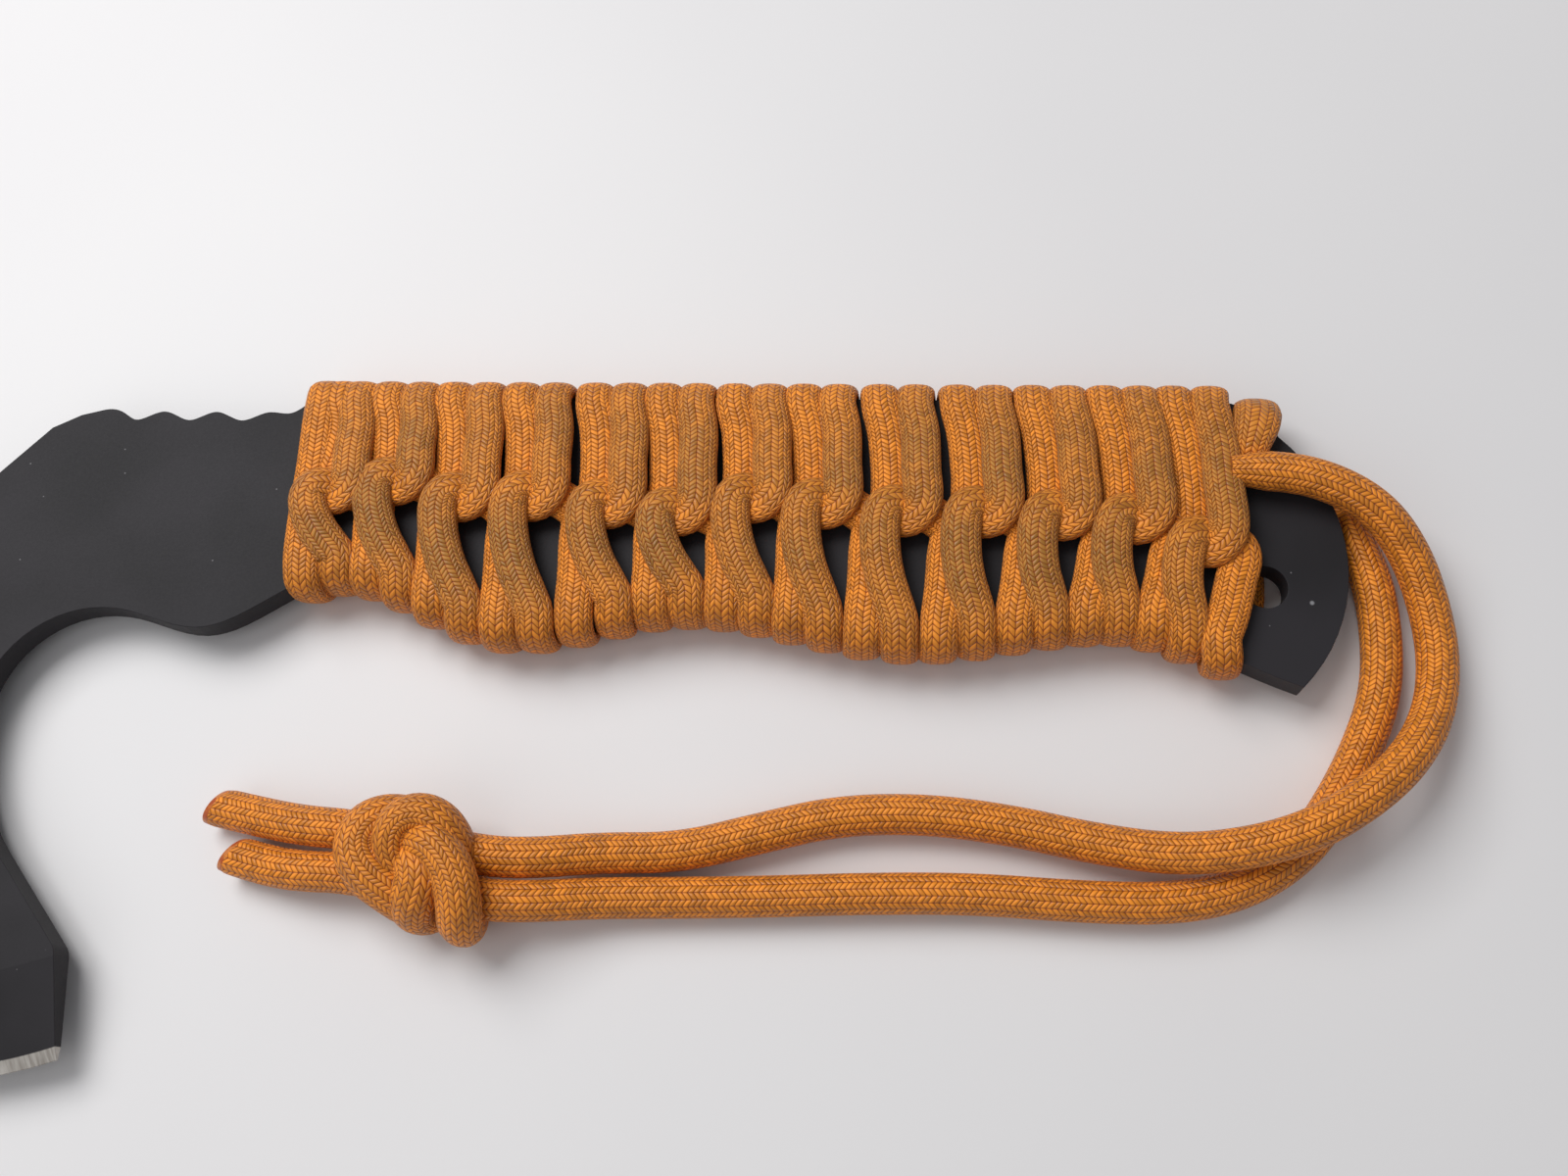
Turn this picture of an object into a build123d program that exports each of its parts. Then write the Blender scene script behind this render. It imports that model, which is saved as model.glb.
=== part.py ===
from build123d import *
import math
import os

# Small full-tang camp hatchet with a paracord-wrapped handle and a knotted lanyard.
# Millimetres. X runs along the handle towards the butt, Y towards the spine, Z up.
# The origin is the centre of the lanyard hole, at the plate's middle plane.

# ---------------------------------------------------------------- driving sizes
# Plate
plate_thickness = 3.0
spine_y = 20.4
hole_radius = 2.2
butt_reach = 8.2
butt_corner = (3.0, -10.3)
butt_reach_y = 1.2
butt_shoulder = (2.4, 16.4)
butt_shoulder_middle = (0.0, 19.2)

# Belly of the neck and tang: crests and troughs that a half cosine joins
belly_stations = [
    (-119.0, -4.2),
    (-108.6, -6.2),
    (-94.5, 0.2),
    (-75.5, -5.8),
    (-57.5, -2.8),
    (-35.0, -6.1),
    (-15.0, -3.8),
    (7.0, -10.9),
]

# Thumb jimping on the neck's spine
jimp_crest_y = 18.45
jimp_valley_y = 17.45
jimp_pitch = 5.85
jimp_count = 3
jimp_last_crest_x = -104.8

# Finger choil behind the head
choil_front_radius = 11.4
choil_rear_radius = 21.4
choil_rear_turn = 41.2

# Head
head_shoulder = (-128.8, 16.4)
crown_run = 3.0
crown_rise = 1.55
head_spine_angle = 228.0
heel_corner = (-117.2, -38.9)
heel_tip = (-115.5, -49.2)
heel_round = 2.0
toe_round = 2.5
edge_radius = 48.0
edge_heel_slope = 19.5
grind_width = 9.5
bevel_width = 1.3
bevel_back_thickness = 1.2
edge_thickness = 0.12

# Cord and the wrap that it makes
cord_diameter = 4.0
wrap_thickness = 2.2
wrap_start_x = -99.2
wrap_end_x = -3.2
first_turn_width = 3.4
hitch_count = 13
meeting_y_head = 8.4
meeting_y_butt = 6.7
turn_round = 0.8
wrap_edge_round = 2.9
belly_clearance = 0.25
cord_clearance = 0.3

# Lobe of cord that is tucked over the spine at the butt
tuck_width = 4.0
tuck_foot_y = 14.2

# Two-strand overhand knot, as the lump that it makes
knot_outline = [
    (-90.6, -23.6),
    (-80.6, -23.6),
    (-76.2, -25.8),
    (-76.2, -37.0),
    (-84.4, -37.2),
    (-90.6, -33.6),
]
knot_corner_round = 2.4
knot_height = 9.6
knot_crown_round = 2.4

# Lanyard routes: corner points that arcs then round off
front_strand = [
    (-3.2, 11.7, 3.8),
    (1.4, 11.7, 3.8),
    (6.5, 10.4, 4.1),
    (11.3, 7.7, 3.3),
    (14.6, 3.6, 1.2),
    (16.4, -1.4, -0.5),
    (16.8, -6.8, -0.7),
    (15.4, -12.3, 0.5),
    (12.4, -17.0, 2.1),
    (8.4, -20.8, 2.9),
    (3.2, -24.2, 2.9),
    (-2.7, -26.1, 2.0),
    (-9.6, -26.7, 0.2),
    (-17.4, -25.5, -1.4),
    (-25.0, -23.9, -1.7),
    (-33.6, -23.0, -1.6),
    (-42.0, -23.4, -1.7),
    (-49.6, -25.4, -1.5),
    (-57.4, -27.5, -1.7),
    (-65.2, -27.8, -1.1),
    (-71.2, -28.8, 0.7),
    (-76.2, -28.8, 0.7),
]
back_strand = [
    (10.3, 5.8, -1.7),
    (11.5, 1.5, -1.7),
    (11.8, -3.8, -1.65),
    (11.3, -9.6, -1.7),
    (9.2, -15.0, -1.7),
    (6.4, -20.2, -1.7),
    (2.8, -25.4, -1.7),
    (-2.6, -29.2, -1.7),
    (-9.4, -31.0, -1.7),
    (-18.4, -31.1, -1.6),
    (-28.6, -30.6, -1.7),
    (-38.8, -30.9, -1.6),
    (-48.8, -31.5, -1.7),
    (-58.2, -31.9, -1.65),
    (-65.4, -32.2, -1.2),
    (-71.4, -33.0, 0.7),
    (-76.2, -33.0, 0.7),
]
long_tail = [
    (-90.6, -26.4, 0.7),
    (-94.4, -26.4, 0.7),
    (-99.4, -25.5, -1.0),
    (-104.6, -24.2, -1.65),
]
short_tail = [
    (-90.6, -30.8, 0.7),
    (-94.2, -30.8, 0.7),
    (-98.2, -30.5, -0.8),
    (-102.2, -29.4, -1.65),
]
# The back strand's first stretch, pressed flat between the plate and what it lies on
back_root = [(-3.2, 12.9), (1.0, 12.9), (5.6, 12.0), (9.1, 10.1), (10.3, 5.8)]
back_root_width = 4.6

# Worked out from the sizes above
half_plate = plate_thickness / 2
table_z = -half_plate - wrap_thickness
cord_radius = cord_diameter / 2
back_root_z = -half_plate - wrap_thickness / 2
hitch_pitch = (wrap_end_x - wrap_start_x - first_turn_width) / hitch_count
hitch_start_x = wrap_start_x + first_turn_width


# ---------------------------------------------------------------- helpers
def belly_y(x):
    """Height of the tang's belly edge at x."""
    for (x0, y0), (x1, y1) in zip(belly_stations, belly_stations[1:]):
        if x <= x1:
            share = max(0.0, (x - x0) / (x1 - x0))
            return y0 + (y1 - y0) * (1 - math.cos(math.pi * share)) / 2
    return belly_stations[-1][1]


def lowest_belly(x0, x1):
    """Lowest point of the belly edge between x0 and x1."""
    steps = 12
    return min(belly_y(x0 + (x1 - x0) * i / steps) for i in range(steps + 1))


def meeting_y(x):
    """Line along the face where the spine and belly halves of each hitch meet."""
    share = (x - wrap_start_x) / (wrap_end_x - wrap_start_x)
    return meeting_y_head + (meeting_y_butt - meeting_y_head) * share


def polar(centre, radius, degrees):
    """Point at a radius and an angle from a centre."""
    angle = math.radians(degrees)
    return (centre[0] + radius * math.cos(angle), centre[1] + radius * math.sin(angle))


def write(shape, name):
    """Write one sub-part to its STEP file."""
    shape.label = name
    export_step(shape, f"parts/{name}.step")


# ---------------------------------------------------------------- blade
# The cutting edge is an arc about edge_centre, square to the heel tip's edge slope.
edge_centre = (
    heel_tip[0] - edge_radius * math.sin(math.radians(edge_heel_slope)),
    heel_tip[1] + edge_radius * math.cos(math.radians(edge_heel_slope)),
)


def toe_point():
    """Where the head's straight spine meets the cutting edge's arc."""
    dx = math.cos(math.radians(head_spine_angle))
    dy = math.sin(math.radians(head_spine_angle))
    to_centre = (edge_centre[0] - head_shoulder[0], edge_centre[1] - head_shoulder[1])
    along = to_centre[0] * dx + to_centre[1] * dy
    aside = to_centre[0] * dy - to_centre[1] * dx
    reach = along + math.sqrt(edge_radius**2 - aside**2)
    return (head_shoulder[0] + reach * dx, head_shoulder[1] + reach * dy)


def plate_outline():
    """Closed outline of the whole plate, from the spine's butt end round by the head."""
    toe = toe_point()
    heel_angle = -90 + edge_heel_slope
    toe_angle = math.degrees(math.atan2(toe[1] - edge_centre[1], toe[0] - edge_centre[0]))
    edge_middle = polar(edge_centre, edge_radius, (heel_angle + toe_angle) / 2)

    crown = (jimp_last_crest_x - jimp_pitch * jimp_count - 1.0, jimp_crest_y + 0.15)
    jimping = [(wrap_start_x + 0.6, spine_y), (wrap_start_x - 1.4, spine_y - 0.9)]
    jimping += [(wrap_start_x - 3.2, jimp_crest_y - 0.1)]
    for i in range(jimp_count):
        crest_x = jimp_last_crest_x - jimp_pitch * i
        jimping += [(crest_x, jimp_crest_y), (crest_x - jimp_pitch / 2, jimp_valley_y)]
    jimping += [crown]

    choil_top = belly_stations[0]
    crown_end = (head_shoulder[0] + crown_run, head_shoulder[1] + crown_rise)
    choil_front = (choil_top[0] - choil_front_radius, choil_top[1] - choil_front_radius)
    choil_front_middle = polar((choil_top[0], choil_front[1]), choil_front_radius, 135)
    rear_centre = (choil_front[0] + choil_rear_radius, choil_front[1])
    choil_rear_middle = polar(rear_centre, choil_rear_radius, 180 + choil_rear_turn / 2)
    choil_rear = polar(rear_centre, choil_rear_radius, 180 + choil_rear_turn)

    belly = []
    for (x0, _), (x1, _) in zip(belly_stations, belly_stations[1:]):
        belly += [(x0, belly_y(x0)), ((x0 + x1) / 2, belly_y((x0 + x1) / 2))]
    belly = [point for point in belly if point[0] < butt_corner[0] - 3] + [butt_corner]

    with BuildLine() as outline:
        Line((wrap_end_x, spine_y), jimping[0])
        Spline(jimping, tangents=[(-1, 0), (-1, -0.25)])
        Line(crown, crown_end)
        Line(crown_end, head_shoulder)
        Line(head_shoulder, toe)
        ThreePointArc(toe, edge_middle, heel_tip)
        Line(heel_tip, heel_corner)
        Line(heel_corner, choil_rear)
        ThreePointArc(choil_rear, choil_rear_middle, choil_front)
        ThreePointArc(choil_front, choil_front_middle, choil_top)
        Spline(belly, tangents=[(1, 0), (1, -0.35)])
        ThreePointArc(butt_corner, (butt_reach, butt_reach_y), butt_shoulder)
        ThreePointArc(butt_shoulder, butt_shoulder_middle, (wrap_end_x, spine_y))
    return outline.line


def edge_grind():
    """Ring that grinds both faces down to the cutting edge, about the edge's own centre."""
    start = 200.0
    sweep = 115.0
    above = half_plate + 1.0
    beyond = edge_radius + 6.0
    section = Polyline(
        (edge_radius - grind_width, half_plate),
        (edge_radius - bevel_width, bevel_back_thickness / 2),
        (edge_radius, edge_thickness / 2),
        (beyond, edge_thickness / 2),
        (beyond, above),
        (edge_radius - grind_width, above),
        close=True,
    )
    turned = Plane(
        origin=(edge_centre[0], edge_centre[1], 0),
        x_dir=polar((0, 0), 1, start) + (0,),
        z_dir=polar((0, 0), 1, start - 90) + (0,),
    )
    face = turned * make_face(section)
    upper = revolve(face, Axis((edge_centre[0], edge_centre[1], 0), (0, 0, 1)), sweep)
    return upper, mirror(upper, Plane.XY)


def make_blade():
    """Plate with its head, neck, choil and tang, ground to an edge and drilled for a lanyard."""
    face = make_face(plate_outline())
    blade = extrude(face, half_plate, both=True)
    toe = toe_point()
    heel_edge = blade.edges().filter_by(Axis.Z).sort_by_distance((heel_corner[0], heel_corner[1], 0))[0]
    blade = fillet(heel_edge, heel_round)
    toe_edge = blade.edges().filter_by(Axis.Z).sort_by_distance((toe[0], toe[1], 0))[0]
    blade = fillet(toe_edge, toe_round)
    blade -= Cylinder(hole_radius, plate_thickness * 2)
    for ring in edge_grind():
        blade -= ring
    return blade


# ---------------------------------------------------------------- cord wrap
def across(x):
    """Plane square to the handle at x, with its own x along Y and its own y along Z."""
    return Plane(origin=(x, 0, 0), x_dir=(0, 1, 0), z_dir=(1, 0, 0))


def slab(x0, x1, y0, y1, half_height):
    """Box between two x and two y, as high above the middle plane as below it."""
    return Pos((x0 + x1) / 2, (y0 + y1) / 2, 0) * Box(abs(x1 - x0), abs(y1 - y0), 2 * half_height)


def rounded_turn(x0, x1, y_open, y_closed):
    """Cushion of one cord turn, rounded over the plate's edge and along both its sides."""
    width, height = abs(y_closed - y_open), 2 * (half_plate + wrap_thickness)
    section = Pos((y_open + y_closed) / 2, 0) * Rectangle(width, height)
    outer_corners = [
        corner
        for corner in section.vertices()
        if abs(corner.Y - y_closed) < 0.01 or abs(corner.X - y_closed) < 0.01
    ]
    section = fillet(outer_corners, wrap_edge_round)
    turn = extrude(across(x0) * section, x1 - x0)
    sides = turn.faces().filter_by(Axis.X).edges()
    return fillet([edge for edge in sides if abs(edge.center().Y - y_open) > 0.01], turn_round)


def half_hitch(x0, side):
    """Two legs of one strand's hitch, hooked over the spine (side 1) or the belly (side -1)."""
    x1 = x0 + hitch_pitch
    seat = spine_y if side > 0 else lowest_belly(x0, x1) - belly_clearance
    meeting = meeting_y((x0 + x1) / 2)
    outer = seat + side * wrap_thickness
    legs = rounded_turn(x0, x0 + hitch_pitch / 2, meeting, outer)
    legs += rounded_turn(x0 + hitch_pitch / 2, x1, meeting, outer)
    return legs - slab(x0 - 1, x1 + 1, meeting - side, seat, half_plate)


def make_first_turn():
    """Plain turn at the head end, where the middle of the cord goes once round the tang."""
    x0, x1 = wrap_start_x, hitch_start_x
    low = lowest_belly(x0, x1) - belly_clearance
    width, height = spine_y - low + 2 * wrap_thickness, 2 * (half_plate + wrap_thickness)
    section = Pos((spine_y + low) / 2, 0) * Rectangle(width, height)
    section = fillet(section.vertices(), wrap_edge_round)
    turn = extrude(across(x0) * section, x1 - x0)
    turn = fillet(turn.faces().filter_by(Axis.X).edges(), turn_round)
    return turn - slab(x0 - 1, x1 + 1, low, spine_y, half_plate)


def make_tuck():
    """Lobe of cord beside the last hitch that goes over the spine and back under the lanyard."""
    x0, x1 = wrap_end_x, wrap_end_x + tuck_width
    lobe = rounded_turn(x0, x1, tuck_foot_y, spine_y + wrap_thickness)
    lobe -= slab(x0 - 1, x1 + 1, 0, spine_y, half_plate)
    back_foot = back_root[0][1] + back_root_width / 2 + cord_clearance
    below = Pos((x0 + x1) / 2, 0, table_z) * Box(3 * tuck_width, 2 * back_foot, 2 * wrap_thickness)
    return lobe - below


# ---------------------------------------------------------------- lanyard
def corner_radii(points):
    """Largest easy bend at each corner: 0.45 of the shorter run over the half turn's tangent."""
    radii = []
    for before, here, after in zip(points, points[1:], points[2:]):
        run_in, run_out = Vector(here) - Vector(before), Vector(after) - Vector(here)
        half_turn = math.radians(run_in.get_angle(run_out)) / 2
        radii.append(0.45 * min(run_in.length, run_out.length) / math.tan(half_turn))
    return radii


def route(points):
    """Straight runs joined by tangent arcs through a cord's corner points."""
    return FilletPolyline(*points, radius=corner_radii(points))


def cord(points, name):
    """Round cord along its route, with its length, tightest bend and volume printed."""
    path = route(points)
    tube = sweep(Plane(origin=path @ 0, z_dir=path % 0) * Circle(cord_radius), path=path)
    expected = math.pi * cord_radius**2 * path.length
    tightest = min(corner_radii(points))
    filled = tube.volume / expected
    print(f"{name}: length {path.length:.1f}, tightest radius {tightest:.1f}, volume {filled:.4f}")
    return tube


def make_back_root():
    """Flattened cord behind the butt, from the last hitch to where the plate lets it go."""
    path = route([(x, y, back_root_z) for x, y in back_root])
    seat = Plane(origin=path @ 0, x_dir=(0, 1, 0), z_dir=path % 0)
    section = seat * Rectangle(back_root_width, wrap_thickness)
    return sweep(section, path=path)


def make_knot():
    """Lump of the two-strand overhand knot, flat where the four cord ends meet it."""
    outline = make_face(Polyline(*knot_outline, close=True))
    outline = fillet(outline.vertices(), knot_corner_round)
    knot = extrude(Pos(0, 0, table_z) * outline, knot_height)
    rims = knot.faces().filter_by(Axis.Z).edges()
    return fillet(rims, knot_crown_round)


# ---------------------------------------------------------------- build
if __name__ == "__main__":
    os.makedirs("parts", exist_ok=True)
    write(make_blade(), "blade")
    write(make_first_turn(), "first_turn")
    for number in range(1, hitch_count + 1):
        start = hitch_start_x + hitch_pitch * (number - 1)
        write(half_hitch(start, 1), f"spine_hitch_{number:02d}")
        write(half_hitch(start, -1), f"belly_hitch_{number:02d}")
    write(make_tuck(), "butt_tuck")
    write(make_back_root(), "lanyard_back_root")
    write(cord(front_strand, "lanyard_front"), "lanyard_front")
    write(cord(back_strand, "lanyard_back"), "lanyard_back")
    write(make_knot(), "lanyard_knot")
    write(cord(long_tail, "long_tail"), "long_tail")
    write(cord(short_tail, "short_tail"), "short_tail")
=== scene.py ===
"""Looks of a small full-tang camp hatchet with a cord-wrapped handle and a knotted lanyard.

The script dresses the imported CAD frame. Sizes are in metres. X runs along the handle towards the
butt, Y towards the spine and Z up, from the centre of the lanyard hole at the plate's middle plane.
"""

from __future__ import annotations

import logging
import math
from dataclasses import dataclass
from enum import Enum

import bmesh
import bpy
import numpy as np
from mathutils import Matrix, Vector


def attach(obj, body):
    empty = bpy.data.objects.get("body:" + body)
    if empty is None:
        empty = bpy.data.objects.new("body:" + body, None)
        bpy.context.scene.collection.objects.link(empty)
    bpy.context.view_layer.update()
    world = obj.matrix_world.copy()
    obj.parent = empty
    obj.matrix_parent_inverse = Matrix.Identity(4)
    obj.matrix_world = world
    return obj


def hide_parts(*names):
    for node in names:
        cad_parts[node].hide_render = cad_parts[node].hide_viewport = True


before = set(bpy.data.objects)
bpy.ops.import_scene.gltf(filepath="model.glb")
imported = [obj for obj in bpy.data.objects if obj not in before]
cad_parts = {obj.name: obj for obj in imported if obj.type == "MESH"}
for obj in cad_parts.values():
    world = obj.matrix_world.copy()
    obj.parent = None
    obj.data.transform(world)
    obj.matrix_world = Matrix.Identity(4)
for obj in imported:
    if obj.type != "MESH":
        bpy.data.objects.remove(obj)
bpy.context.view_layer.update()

LOG = logging.getLogger("hatchet")
MM = 0.001
BODY = "root"
TINY = 1e-6
ROUTE_RESOLUTION = 12

Point = tuple[float, float, float]
Colour = tuple[float, float, float, float]
Row = tuple[float, ...]
Run = tuple[np.ndarray, np.ndarray, np.ndarray, np.ndarray]

# The plate that everything is wrapped on
HALF_PLATE = 1.5
SPINE_Y = 20.4
TABLE_Z = -3.7
BELLY_STATIONS = (
    (-119.0, -4.2),
    (-108.6, -6.2),
    (-94.5, 0.2),
    (-75.5, -5.8),
    (-57.5, -2.8),
    (-35.0, -6.1),
    (-15.0, -3.8),
    (7.0, -10.9),
)


class Slot(Enum):
    """Finish slots of the record."""

    STEEL = "coated_steel"
    CORD = "paracord"


class Face(Enum):
    """Broad faces of the plate, by the sign of Z on each."""

    FRONT = 1
    BACK = -1


# ---------------------------------------------------------------- small helpers
def belly_y(x: float) -> float:
    """Height of the tang's belly edge.

    Args:
        x: Place along the handle, in millimetres.

    Returns:
        The belly's Y there, in millimetres.
    """
    for (x0, y0), (x1, y1) in zip(BELLY_STATIONS, BELLY_STATIONS[1:]):
        if x <= x1:
            share = max(0.0, (x - x0) / (x1 - x0))
            return y0 + (y1 - y0) * (1 - math.cos(math.pi * share)) / 2
    return BELLY_STATIONS[-1][1]


def rest_on_table(mesh: bpy.types.Mesh) -> None:
    """Flattens what would sink into the surface that the object lies on."""
    for vertex in mesh.vertices:
        vertex.co.z = max(vertex.co.z, TABLE_Z * MM)


def link(name: str, mesh: bpy.types.Mesh) -> bpy.types.Object:
    """Puts a mesh in the scene as an object at the origin."""
    made = bpy.data.objects.new(name, mesh)
    bpy.context.scene.collection.objects.link(made)
    return made


def sampled(points: np.ndarray, values: np.ndarray, per_span: int) -> tuple[np.ndarray, np.ndarray]:
    """Runs a centripetal curve through points and carries values along it.

    Args:
        points: Points that the curve passes through, one row each.
        values: A row of values at each point, blended linearly between them.
        per_span: Samples between one point and the next.

    Returns:
        The curve's samples and the values at them.
    """
    ends = np.vstack([2 * points[0] - points[1], points, 2 * points[-1] - points[-2]])
    made, carried = [], []
    share = np.linspace(0, 1, per_span, endpoint=False)[:, None]
    for i in range(len(points) - 1):
        p0, p1, p2, p3 = ends[i : i + 4]
        t0 = 0.0
        t1 = t0 + max(np.linalg.norm(p1 - p0), TINY) ** 0.5
        t2 = t1 + max(np.linalg.norm(p2 - p1), TINY) ** 0.5
        t3 = t2 + max(np.linalg.norm(p3 - p2), TINY) ** 0.5
        t = t1 + share * (t2 - t1)
        a1 = (t1 - t) / (t1 - t0) * p0 + (t - t0) / (t1 - t0) * p1
        a2 = (t2 - t) / (t2 - t1) * p1 + (t - t1) / (t2 - t1) * p2
        a3 = (t3 - t) / (t3 - t2) * p2 + (t - t2) / (t3 - t2) * p3
        b1 = (t2 - t) / (t2 - t0) * a1 + (t - t0) / (t2 - t0) * a2
        b2 = (t3 - t) / (t3 - t1) * a2 + (t - t1) / (t3 - t1) * a3
        made.append((t2 - t) / (t2 - t1) * b1 + (t - t1) / (t2 - t1) * b2)
        carried.append(values[i] * (1 - share) + values[i + 1] * share)
    made.append(points[-1:])
    carried.append(values[-1:])
    return np.vstack(made), np.vstack(carried)


def tangents(line: np.ndarray) -> np.ndarray:
    """Unit directions along a line of points."""
    step = np.gradient(line, axis=0)
    return step / np.linalg.norm(step, axis=1)[:, None]


def carried_normals(line: np.ndarray, first: Point) -> np.ndarray:
    """Normals that ride along a line without twisting about it.

    Args:
        line: Points of the line.
        first: The direction that the first normal leans to.

    Returns:
        A unit normal at each point.
    """
    along = tangents(line)
    normal = np.array(first, float)
    made = []
    for direction in along:
        normal = normal - normal @ direction * direction
        normal = normal / np.linalg.norm(normal)
        made.append(normal)
    return np.array(made)


def route_line(name: str, route_mm: tuple[Point, ...]) -> np.ndarray:
    """Reads the smooth line of a cord's route.

    Args:
        name: What the route is called.
        route_mm: Control points, in millimetres.

    Returns:
        Points of the NURBS spline, in metres.
    """
    data = bpy.data.curves.new(name + "_route", "CURVE")
    data.dimensions = "3D"
    data.resolution_u = ROUTE_RESOLUTION
    spline = data.splines.new("NURBS")
    spline.points.add(len(route_mm) - 1)
    for point, place in zip(spline.points, route_mm):
        point.co = (place[0] * MM, place[1] * MM, place[2] * MM, 1.0)
    spline.order_u = 3
    spline.use_endpoint_u = True
    holder = bpy.data.objects.new(name + "_route", data)
    bpy.context.scene.collection.objects.link(holder)
    bpy.context.view_layer.update()
    graph = bpy.context.evaluated_depsgraph_get()
    mesh = bpy.data.meshes.new_from_object(holder.evaluated_get(graph))
    line = np.array([vertex.co for vertex in mesh.vertices], float)
    bpy.data.objects.remove(holder)
    bpy.data.curves.remove(data)
    bpy.data.meshes.remove(mesh)
    return line


# ---------------------------------------------------------------- node building
class Tree:
    """A node tree that is filled node by node."""

    def __init__(self, tree: bpy.types.NodeTree) -> None:
        """Starts on an existing tree."""
        self.tree = tree

    def add(self, kind: str, **settings: object) -> bpy.types.Node:
        """Adds a node and sets its properties."""
        node = self.tree.nodes.new(kind)
        for key, value in settings.items():
            setattr(node, key, value)
        return node

    def feed(self, node: bpy.types.Node, **sources: object) -> bpy.types.Node:
        """Links or sets a node's inputs.

        Args:
            node: The node to feed.
            sources: Input index as i0, i1 and so on, against a socket or a plain value.

        Returns:
            The same node.
        """
        for key, source in sources.items():
            socket = node.inputs[int(key[1:])]
            if isinstance(source, bpy.types.NodeSocket):
                self.tree.links.new(source, socket)
            else:
                socket.default_value = source
        return node

    def math(self, operation: str, *sources: object) -> bpy.types.NodeSocket:
        """Adds a Math node and returns its output."""
        node = self.add("ShaderNodeMath", operation=operation)
        self.feed(node, **{f"i{i}": source for i, source in enumerate(sources)})
        return node.outputs[0]

    def ramp(
        self, source: object, low: float, high: float, out_low: float, out_high: float
    ) -> bpy.types.NodeSocket:
        """Maps a value smoothly from one range to another."""
        node = self.add("ShaderNodeMapRange", interpolation_type="SMOOTHSTEP")
        self.feed(node, i0=source, i1=low, i2=high, i3=out_low, i4=out_high)
        return node.outputs[0]

    def blend(self, share: object, first: object, second: object) -> bpy.types.NodeSocket:
        """Mixes two colours by a share."""
        node = self.add("ShaderNodeMix", data_type="RGBA")
        self.feed(node, i0=share, i6=first, i7=second)
        return node.outputs[2]


@dataclass(frozen=True)
class CordSection:
    """Section of a cord and how finely it is swept, in millimetres."""

    half_width: float
    half_thickness: float
    sides: int = 24
    step: float = 0.5
    squareness: float = 1.0
    columns: int = 14
    pick: float = 0.62


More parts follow.
